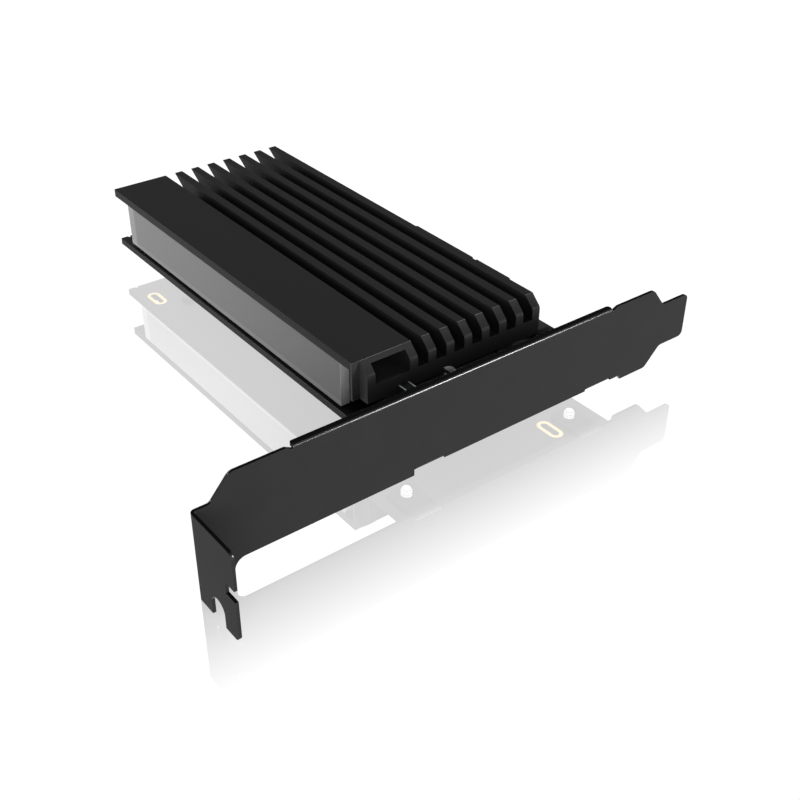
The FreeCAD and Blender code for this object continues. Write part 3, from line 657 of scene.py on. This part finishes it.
def thread(form, centre, radius, low, high, pitch, depth, steps):
    """Adds a threaded rod along Z, closed at both ends, that tapers at its lower tip."""
    rows = max(8, int((high - low) / pitch * 8))
    rings = []
    for row in range(rows + 1):
        level = low + (high - low) * row / rows
        taper = min(1.0, 0.72 + 0.28 * (level - low) / (1.2 * pitch))
        ring = []
        for number in range(steps):
            turn = number / steps
            phase = ((level - low) / pitch - turn) % 1.0
            crest = abs(phase - 0.5) * 2
            reach = (radius - depth * crest) * taper
            spot = (centre.x + reach * cos(2 * pi * turn), centre.y + reach * sin(2 * pi * turn), level)
            ring.append(form.verts.new(spot))
        rings.append(ring)
    for lower, upper in zip(rings, rings[1:]):
        for number in range(steps):
            after = (number + 1) % steps
            form.faces.new((lower[number], lower[after], upper[after], upper[number]))
    form.faces.new(list(reversed(rings[0])))
    form.faces.new(rings[-1])


def pan_head(form, centre, seat, rise, radius, up, steps, recess):
    """Adds a pan head with a cross recess; up is 1 or -1, the way that its top faces."""
    head = bmesh.new()
    arc = [(radius, 0.0), (radius, rise * 0.45)]
    for number in range(1, 6):
        turn = pi / 2 * number / 6
        arc.append((radius * (0.62 + 0.38 * cos(turn)), rise * (0.45 + 0.55 * sin(turn))))
    arc += [(radius * 0.55, rise), (0, rise)]
    profile = [(0, seat)] + [(r, seat + up * lift) for r, lift in arc]
    lathe(head, profile, centre, steps)
    bmesh.ops.recalc_face_normals(head, faces=head.faces)
    body = bpy.data.meshes.new("head")
    head.to_mesh(body)
    head.free()
    cutter = bmesh.new()
    depth = rise * 0.6
    for turn in (0, pi / 2):
        arm = bmesh.new()
        bmesh.ops.create_cube(arm, size=1.0)
        size = Matrix.Diagonal((recess * 2, recess * 0.34, depth * 2, 1))
        move = Matrix.Translation((centre.x, centre.y, seat + up * rise))
        spin = Matrix.Rotation(turn + pi / 7, 4, "Z")
        bmesh.ops.transform(arm, matrix=move @ spin @ size, verts=arm.verts)
        for vert in arm.verts:
            if (vert.co.z - seat - up * rise) * up < 0:
                vert.co.x = centre.x + (vert.co.x - centre.x) * 0.5
                vert.co.y = centre.y + (vert.co.y - centre.y) * 0.5
        join(cutter, arm)
    blade = bpy.data.meshes.new("blade")
    cutter.to_mesh(blade)
    cutter.free()
    join_cut(form, body, blade)


def join_cut(form, body, blade):
    """Adds one mesh to a form with another cut out of it."""
    whole = bpy.data.objects.new("cut_body", body)
    tool = bpy.data.objects.new("cut_tool", blade)
    for thing in (whole, tool):
        bpy.context.scene.collection.objects.link(thing)
    modifier = whole.modifiers.new("cut", "BOOLEAN")
    modifier.operation = "DIFFERENCE"
    modifier.solver = "EXACT"
    modifier.use_self = True
    modifier.object = tool
    graph = bpy.context.evaluated_depsgraph_get()
    result = bpy.data.meshes.new_from_object(whole.evaluated_get(graph))
    form.from_mesh(result)
    for thing in (whole, tool):
        bpy.data.objects.remove(thing)
    for mesh in (result, body, blade):
        bpy.data.meshes.remove(mesh)


# Operators, one for each piece or group of like pieces.

class CARD_OT_bracket(bpy.types.Operator):
    """Dress the folded bracket"""

    bl_idname = "card.bracket"
    bl_label = "Bracket"

    def execute(self, context):
        sizes = context.scene.card_sizes
        softened("bracket", sizes.sheet_edge, finish(powder_coat), "satin_black_steel")
        return {"FINISHED"}


class CARD_OT_heat_sink(bpy.types.Operator):
    """Dress the finned heat sink"""

    bl_idname = "card.heat_sink"
    bl_label = "Heat sink"

    def execute(self, context):
        sizes = context.scene.card_sizes
        form = node_form("heat_sink")
        low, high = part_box("heat_sink")
        nose = [edge for edge in form.edges if self.on_nose(edge, low, high)]
        bmesh.ops.bevel(form, geom=nose, offset=sizes.nose_round, offset_type="OFFSET", segments=4,
                        profile=0.5, affect="EDGES", clamp_overlap=True)
        round_edges(form, sizes.sink_edge)
        piece = add_piece("heat_sink_rounded", form, finish(anodised_black), "black_anodised", "heat_sink")
        weighted(piece)
        return {"FINISHED"}

    def on_nose(self, edge, low, high):
        """Whether an edge is the crease between the front wall and the slope above it."""
        first, second = [vert.co for vert in edge.verts]
        level = abs(first.y - second.y) < 0.01 * MM and abs(first.z - second.z) < 0.01 * MM
        front = first.y < low.y + 1.5 * MM and high.z - 3.5 * MM < first.z < high.z - 1.0 * MM
        return level and front and radians(30) < edge.calc_face_angle(0) < radians(60)


class CARD_OT_board(bpy.types.Operator):
    """Dress the board and lay its tracks and through-holes"""

    bl_idname = "card.board"
    bl_label = "Board"

    def execute(self, context):
        sizes = context.scene.card_sizes
        softened("circuit_board", sizes.board_edge, finish(solder_mask), "board_black", 1)
        dress_node("edge_contacts_top", finish("gold_plate"))
        dress_node("edge_contacts_bottom", finish("gold_plate"))
        dress_node("slot_rings", finish("gold_plate"))
        self.tracks(sizes)
        self.through_holes(context)
        return {"FINISHED"}

    def tracks(self, sizes):
        """Pairs of tracks from the edge contacts to the drive socket, under the solder mask."""
        low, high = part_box("circuit_board")
        contact_low, contact_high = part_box("edge_contacts_bottom")
        socket_low, socket_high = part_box("drive_socket_housing")
        form = bmesh.new()
        lanes = 16
        for lane in range(lanes):
            share = (lane + 0.5) / lanes
            start = Vector((contact_low.x, contact_low.y + share * (contact_high.y - contact_low.y)))
            across = 0.12 + 0.76 * share
            end = Vector((socket_low.x + across * (socket_high.x - socket_low.x), socket_high.y))
            turn_x = end.x + (1.0 - share) * 2 * MM
            slope = min(start.x - turn_x, start.y - end.y) * 0.35
            points = [start, Vector((turn_x + slope, start.y)), Vector((turn_x, start.y - slope)),
                      Vector((turn_x, end.y))]
            ribbon(form, points, low.z, -sizes.track_rise, sizes.track_width)
        for rail in range(5):
            x = low.x + (0.1 + 0.055 * rail) * (high.x - low.x)
            y = low.y + (0.2 + 0.02 * rail) * (high.y - low.y)
            end = y + 0.55 * (high.y - low.y)
            points = [Vector((x, y)), Vector((x, end)), Vector((x + 5 * MM, end + 5 * MM))]
            ribbon(form, points, low.z, -sizes.track_rise, sizes.track_width * 1.6)
        add_piece("board_tracks", form, finish(solder_mask), "board_black")

    def through_holes(self, context):
        """Plated through-holes scattered along the tracks, seen on both faces."""
        low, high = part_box("circuit_board")
        sink_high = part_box("heat_sink")[1]
        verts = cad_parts["circuit_board"].data.vertices
        right = max(vert.co.x for vert in verts if vert.co.y > high.y - MM)
        nodes = ("ceramic_capacitors", "bulk_capacitors", "resistors", "slot_rings", "power_inductor",
                 "regulator_chip", "light_controller_chip", "chip_leads")
        taken = [pair for node in nodes for pair in solid_boxes(node)]
        form = bmesh.new()
        lift = context.scene.card_sizes.track_rise
        margin = 0.6 * MM
        for number in range(44):
            x = sink_high.x + 1.2 * MM + ((number * 7) % 5) / 4 * (right - sink_high.x - 2.4 * MM)
            y = low.y + (0.10 + 0.0198 * number) * (high.y - low.y)
            if any(a.x - margin < x < b.x + margin and a.y - margin < y < b.y + margin for a, b in taken):
                continue
            for level, way in ((high.z, 1), (low.z, -1)):
                rise = way * lift
                sunk, crown, dip = level - rise * 0.5, level + rise, level + rise * 0.2
                profile = [(0, sunk), (0.32 * MM, sunk), (0.32 * MM, crown), (0.14 * MM, crown),
                           (0.12 * MM, dip), (0, dip)]
                lathe(form, profile, Vector((x, y)), 12)
        add_piece("through_holes", form, finish("tin_plate"), "tinned")


def ribbon(form, points, level, rise, width):
    """Adds a flat raised track along points on the board's face."""
    sides = []
    for number, point in enumerate(points):
        before = (point - points[number - 1]).normalized() if number else None
        after = (points[number + 1] - point).normalized() if number + 1 < len(points) else None
        way = ((before or after) + (after or before)).normalized()
        scale = 1 / max(0.5, way.dot(after or before))
        side = Vector((-way.y, way.x)) * width / 2 * scale
        sides.append((point + side, point - side))
    rings = [
        [form.verts.new((spot.x, spot.y, z)) for spot, z in
         ((left, level), (left, level + rise), (right, level + rise), (right, level))]
        for left, right in sides
    ]
    for first, second in zip(rings, rings[1:]):
        for corner in range(4):
            after = (corner + 1) % 4
            form.faces.new((first[corner], first[after], second[after], second[corner]))
    form.faces.new(rings[0])
    form.faces.new(list(reversed(rings[-1])))


class CARD_OT_light_guide(bpy.types.Operator):
    """Dress the light guide and the lamps behind it"""

    bl_idname = "card.light_guide"
    bl_label = "Light guide and lamps"

    def execute(self, context):
        sizes = context.scene.card_sizes
        softened("light_guide", sizes.guide_edge, finish(frosted_guide), "frosted_clear")
        bodies = bmesh.new()
        lenses = bmesh.new()
        for low, high in solid_boxes("leds"):
            top = high.z - 0.05 * MM
            block(bodies, low, Vector((high.x, high.y, top)), sizes.part_edge)
            radius = 0.38 * (high.x - low.x)
            profile = [(0, top - 0.1 * MM), (radius, top - 0.1 * MM), (radius, top + 0.02 * MM),
                       (radius * 0.8, high.z), (0, high.z)]
            lathe(lenses, profile, (low + high) / 2, 24)
        add_piece("lamp_bodies", bodies, finish("lamp_body_white"), "lamp_white", "leds")
        add_piece("lamp_lenses", lenses, finish("lamp_lens_yellow"), "lamp_white")
        return {"FINISHED"}


class CARD_OT_screws(bpy.types.Operator):
    """Make the screws with cross recesses and threads"""

    bl_idname = "card.screws"
    bl_label = "Screws"

    def execute(self, context):
        sizes = context.scene.card_sizes
        steps = context.scene.card_stage.lathe_steps
        board_low, board_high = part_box("circuit_board")
        ends = bmesh.new()
        for low, high in solid_boxes("bracket_screws"):
            middle = (low + high) / 2
            radius = (high.x - low.x) / 2
            pan_head(ends, middle, board_high.z, high.z - board_high.z, radius, 1, steps, radius * 0.55)
            thread(ends, middle, radius * 0.478, low.z, board_high.z,
                   sizes.thread_pitch, sizes.thread_depth, steps)
        weighted(add_piece("bracket_screws_threaded", ends, finish(zinc_plate), "zinc_screw",
                           "bracket_screws"))
        heads = bmesh.new()
        for low, high in solid_boxes("heat_sink_screws"):
            middle = (low + high) / 2
            radius = (high.x - low.x) / 2
            pan_head(heads, middle, board_low.z, board_low.z - low.z, radius, -1, steps, radius * 0.55)
            thread(heads, middle, radius * 0.55, board_low.z, high.z,
                   sizes.thread_pitch, sizes.thread_depth, 24)
        weighted(add_piece("heat_sink_screws_threaded", heads, finish("black_oxide"), "black_screw",
                           "heat_sink_screws"))
        return {"FINISHED"}


class CARD_OT_drive_bay(bpy.types.Operator):
    """Dress the drive socket, the standoff and the thermal pads"""

    bl_idname = "card.drive_bay"
    bl_label = "Drive bay"

    def execute(self, context):
        sizes = context.scene.card_sizes
        softened("drive_socket_housing", sizes.part_edge, finish("moulded_black"), "socket_black")
        for node in ("drive_socket_contacts", "drive_socket_anchors"):
            dress_node(node, finish("tin_plate"))
        softened("drive_standoff", sizes.part_edge, finish("turned_brass"), "standoff_brass")
        for node in ("upper_thermal_pad", "lower_thermal_pad"):
            softened(node, sizes.part_edge, finish(soft_pad), "pad_grey")
        return {"FINISHED"}


class CARD_OT_board_parts(bpy.types.Operator):
    """Make the chips, capacitors, resistors, choke and coil on the board"""

    bl_idname = "card.board_parts"
    bl_label = "Board parts"

    def execute(self, context):
        sizes = context.scene.card_sizes
        for node in ("regulator_chip", "light_controller_chip"):
            self.chip(node, sizes)
        softened("power_inductor", 3 * sizes.part_edge, finish("pressed_powder"), "coil_grey", 3)
        softened("choke", sizes.part_edge, finish("ferrite_green"), "ferrite")
        softened("choke_terminals", sizes.part_edge * 0.8, finish(choke_band), "tinned")
        self.capped("ceramic_capacitors", finish("fired_ceramic"), "ceramic_tan", sizes)
        self.capped("bulk_capacitors", finish("fired_ceramic"), "ceramic_tan", sizes)
        self.capped("resistors", finish("resistor_glaze"), "resistor_black", sizes)
        self.leads()
        self.can(context)
        return {"FINISHED"}

    def chip(self, node, sizes):
        """A moulded body whose sides draw in, with a pin mark in one corner."""
        low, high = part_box(node)
        form = bmesh.new()
        block(form, low, high, sizes.part_edge)
        middle = (low + high) / 2
        for vert in form.verts:
            lean = abs(vert.co.z - middle.z) / (high.z - low.z) * 0.06
            vert.co.x = middle.x + (vert.co.x - middle.x) * (1 - lean)
            vert.co.y = middle.y + (vert.co.y - middle.y) * (1 - lean)
        mark = Vector((low.x + 0.9 * MM, high.y - 0.9 * MM))
        profile = [(0, high.z - 0.05 * MM), (0.3 * MM, high.z - 0.05 * MM), (0.3 * MM, high.z),
                   (0.22 * MM, high.z - 0.02 * MM), (0, high.z - 0.03 * MM)]
        lathe(form, profile, mark, 24)
        weighted(add_piece(node + "_moulded", form, finish("chip_epoxy"), "chip_black", node))

    def capped(self, node, material, slot, sizes):
        """Blocks along X with a plated cap on each end."""
        bodies = bmesh.new()
        caps = bmesh.new()
        for low, high in solid_boxes(node):
            cap = 0.2 * (high.x - low.x)
            inset = Vector((cap * 0.5, 0.03 * MM, 0))
            block(bodies, low + inset, high - inset - Vector((0, 0, 0.03 * MM)), sizes.part_edge * 0.5)
            block(caps, low, Vector((low.x + cap, high.y, high.z)), sizes.part_edge)
            block(caps, Vector((high.x - cap, low.y, low.z)), high, sizes.part_edge)
        add_piece(node + "_bodies", bodies, material, slot, node)
        add_piece(node + "_caps", caps, finish("tin_plate"), "tinned")

    def leads(self):
        """Bent leads: a flat foot on the board and a rise to the chip's side."""
        chips = [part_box(node) for node in ("regulator_chip", "light_controller_chip")]
        form = bmesh.new()
        for low, high in solid_boxes("chip_leads"):
            chip_low, chip_high = min(chips, key=lambda pair: abs(pair[0].y - low.y))
            inner = high.x if low.x < chip_low.x else low.x
            outer = low.x if low.x < chip_low.x else high.x
            gauge = 0.15 * MM
            rise = 0.45 * (chip_high.z - chip_low.z)
            knee = inner + (outer - inner) * 0.45
            top = low.z + rise
            under = [(outer, low.z), (knee, low.z), (knee + (inner - knee) * 0.3, top), (inner, top)]
            over = [(x, z + gauge) for x, z in under]
            sides = []
            for y in (low.y, high.y):
                sides.append([form.verts.new((x, y, z)) for x, z in under + over[::-1]])
            count = len(sides[0])
            for number in range(count):
                after = (number + 1) % count
                form.faces.new((sides[0][number], sides[0][after], sides[1][after], sides[1][number]))
            for side in sides:
                for number in range(len(under) - 1):
                    opposite = count - 1 - number
                    form.faces.new((side[number], side[number + 1], side[opposite - 1], side[opposite]))
        add_piece("chip_leads_bent", form, finish("tin_plate"), "tinned", "chip_leads")

    def can(self, context):
        """The can capacitor: a drawn can with a rolled groove, on a base with two cut corners."""
        steps = context.scene.card_stage.lathe_steps
        low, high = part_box("can_capacitor")
        middle = (low + high) / 2
        radius = (high.x - low.x) / 2
        rise = high.z - low.z
        shoulder = 0.3 * MM
        neck = radius * 0.9
        profile = [(0, low.z), (radius, low.z), (radius, low.z + 0.16 * rise), (neck, low.z + 0.22 * rise),
                   (neck, low.z + 0.26 * rise), (radius, low.z + 0.32 * rise), (radius, high.z - shoulder)]
        for number in range(1, 6):
            turn = pi / 2 * number / 5
            profile.append((radius - shoulder * (1 - cos(turn)), high.z - shoulder * (1 - sin(turn))))
        profile += [(radius - 0.5 * MM, high.z - 0.06 * MM), (0, high.z - 0.06 * MM)]
        form = bmesh.new()
        lathe(form, profile, middle, steps)
        add_piece("can_capacitor_drawn", form, finish(bright_can), "can_metal", "can_capacitor")
        softened("can_capacitor_base", 2 * context.scene.card_sizes.part_edge, finish("moulded_black"),
                 "socket_black")


# The lamps: name, direction from the card, distance, side, power, and whether gloss and the floor show it.
LAMPS = (
    ("key", (-0.52, -0.80, 0.22), 1.3, 0.9, 14.0, False),
    ("edge", (0.52, -0.80, 0.28), 1.0, 0.20, 6.0, True),
    ("overhead", (0.50, 0.12, 0.85), 1.0, 0.10, 0.6, True),
    ("left_rim", (-0.56, 0.65, 0.50), 1.1, 0.20, 1.4, True),
    ("back", (-0.10, 0.95, 0.25), 1.4, 0.8, 3.5, False),
)


class CARD_OT_stage(bpy.types.Operator):
    """Set the floor, lamps, world and camera"""

    bl_idname = "card.stage"
    bl_label = "Stage"

    def execute(self, context):
        stage = context.scene.card_stage
        self.floor(stage)
        self.world(context, stage)
        self.lamps(context)
        self.camera(context, stage)
        context.scene.view_settings.view_transform = "Standard"
        return {"FINISHED"}

    def floor(self, stage):
        """A square floor at the card's foot."""
        low, high = CAD_BOX
        middle = (low + high) / 2
        half = stage.floor_side / 2
        form = bmesh.new()
        corners = [(-half, -half), (half, -half), (half, half), (-half, half)]
        form.faces.new([form.verts.new((middle.x + x, middle.y + y, low.z)) for x, y in corners])
        mesh = mesh_from(form, "floor")
        floor = bpy.data.objects.new("floor", mesh)
        bpy.context.scene.collection.objects.link(floor)
        mesh.materials.append(self.floor_finish(stage))

    def floor_finish(self, stage):
        """White floor with the card's shadow and mirror image, which fade out in front of the card."""
        made = Finish("pale_floor", {"Roughness": 0.6, "Specular IOR Level": 0.0})
        cloud = made.noise(0.6, 2.0)
        made.feed("Base Color", made.blend(cloud, (0.80, 0.80, 0.80), (0.83, 0.83, 0.83)))
        matt = made.surface.outputs[0]
        white = made.glow(1.0)
        mirror = made.node("ShaderNodeBsdfGlossy", {}, {"Color": WHITE, "Roughness": 0.0}).outputs[0]
        # The glow makes up what the mirror and the lit matt share lack, so the open floor comes out white.
        rest = 1 - stage.floor_gloss
        lit = 0.02 * rest * (1 - stage.floor_light)
        level = (1 - stage.floor_gloss * stage.floor_sky - lit) / (rest * stage.floor_light)
        pale = made.mix(stage.floor_light, matt, made.glow(level))
        seen = made.mix(stage.floor_gloss, pale, mirror)
        fade = 1 - made.axes()[1].ramp(-stage.fade_end, -stage.fade_start)
        seen = made.mix(fade, seen, white)
        rays = made.node("ShaderNodeLightPath", {}, {}).outputs
        gloss = Value(made.tree, rays["Is Glossy Ray"]) + Value(made.tree, rays["Is Transmission Ray"])
        other = made.mix(gloss, matt, white)
        made.link(made.mix(rays["Is Camera Ray"], other, seen), made.output.inputs["Surface"])
        return made.material

    def world(self, context, stage):
        """White where the camera sees it, and dimmer as light, in satin gloss and in the floor."""
        world = bpy.data.worlds.new("even_light")
        context.scene.world = world
        world.use_nodes = True
        tree = world.node_tree
        tree.nodes.clear()
        sky = tree.nodes.new("ShaderNodeBackground")
        rays = tree.nodes.new("ShaderNodeLightPath").outputs
        output = tree.nodes.new("ShaderNodeOutputWorld")
        camera = Value(tree, rays["Is Camera Ray"]) + Value(tree, rays["Is Transmission Ray"])
        gloss = Value(tree, rays["Is Glossy Ray"])
        mirror = Value(tree, rays["Is Singular Ray"]) * gloss
        strength = stage.world_level + camera * (1 - stage.world_level)
        strength = strength + gloss * (stage.world_gloss - stage.world_level)
        strength = strength + mirror * (stage.floor_sky - stage.world_gloss)
        sky.inputs["Color"].default_value = WHITE
        tree.links.new(strength.socket, sky.inputs["Strength"])
        tree.links.new(sky.outputs[0], output.inputs["Surface"])

    def lamps(self, context):
        """Square soft lamps that shine on the card from their directions."""
        low, high = CAD_BOX
        middle = (low + high) / 2
        for name, way, distance, side, power, shown in LAMPS:
            data = bpy.data.lights.new(name, "AREA")
            data.shape = "SQUARE"
            data.size = side
            data.energy = power
            lamp = bpy.data.objects.new(name, data)
            way = Vector(way).normalized()
            lamp.location = middle + way * distance
            lamp.visible_glossy = shown
            lamp.rotation_mode = "QUATERNION"
            lamp.rotation_quaternion = way.to_track_quat("Z", "Y")
            context.scene.collection.objects.link(lamp)

    def camera(self, context, stage):
        """The camera at the photo's angle."""
        data = bpy.data.cameras.new("camera")
        data.sensor_width = 36
        data.lens = stage.lens
        data.clip_start = 0.01
        data.clip_end = 50
        camera = bpy.data.objects.new("camera", data)
        context.scene.collection.objects.link(camera)
        turn, rise = stage.azimuth, stage.elevation
        ahead = Vector((-sin(turn) * cos(rise), cos(turn) * cos(rise), -sin(rise)))
        right = Vector((cos(turn), sin(turn), 0))
        down = ahead.cross(right)
        tilted = right * cos(stage.roll) + down * sin(stage.roll)
        above = tilted.cross(ahead)
        basis = Matrix((tilted, above, -ahead)).transposed().to_4x4()
        camera.matrix_world = Matrix.Translation(Vector(stage.place)) @ basis
        context.scene.camera = camera


STEPS = (
    CARD_OT_bracket,
    CARD_OT_heat_sink,
    CARD_OT_board,
    CARD_OT_light_guide,
    CARD_OT_screws,
    CARD_OT_drive_bay,
    CARD_OT_board_parts,
    CARD_OT_stage,
)


class CARD_PT_steps(bpy.types.Panel):
    """Lists the steps and their sizes and colours"""

    bl_idname = "CARD_PT_steps"
    bl_label = "Adapter Card"
    bl_space_type = "VIEW_3D"
    bl_region_type = "UI"
    bl_category = "Adapter Card"

    def draw(self, context):
        layout = self.layout
        for step in STEPS:
            layout.operator(step.bl_idname)
        for group in (context.scene.card_sizes, context.scene.card_colours, context.scene.card_stage):
            box = layout.box()
            for name in group.bl_rna.properties.keys():
                if name not in ("rna_type", "name"):
                    box.prop(group, name)


CLASSES = (CardSizes, CardColours, StageSizes, *STEPS, CARD_PT_steps)


def register():
    for kind in CLASSES:
        bpy.utils.register_class(kind)
    bpy.types.Scene.card_sizes = PointerProperty(type=CardSizes)
    bpy.types.Scene.card_colours = PointerProperty(type=CardColours)
    bpy.types.Scene.card_stage = PointerProperty(type=StageSizes)


def unregister():
    for name in ("card_sizes", "card_colours", "card_stage"):
        delattr(bpy.types.Scene, name)
    for kind in reversed(CLASSES):
        bpy.utils.unregister_class(kind)


def main():
    """Runs the steps in order."""
    register()
    for step in STEPS:
        group, name = step.bl_idname.split(".")
        getattr(getattr(bpy.ops, group), name)()


if __name__ == "__main__":
    main()
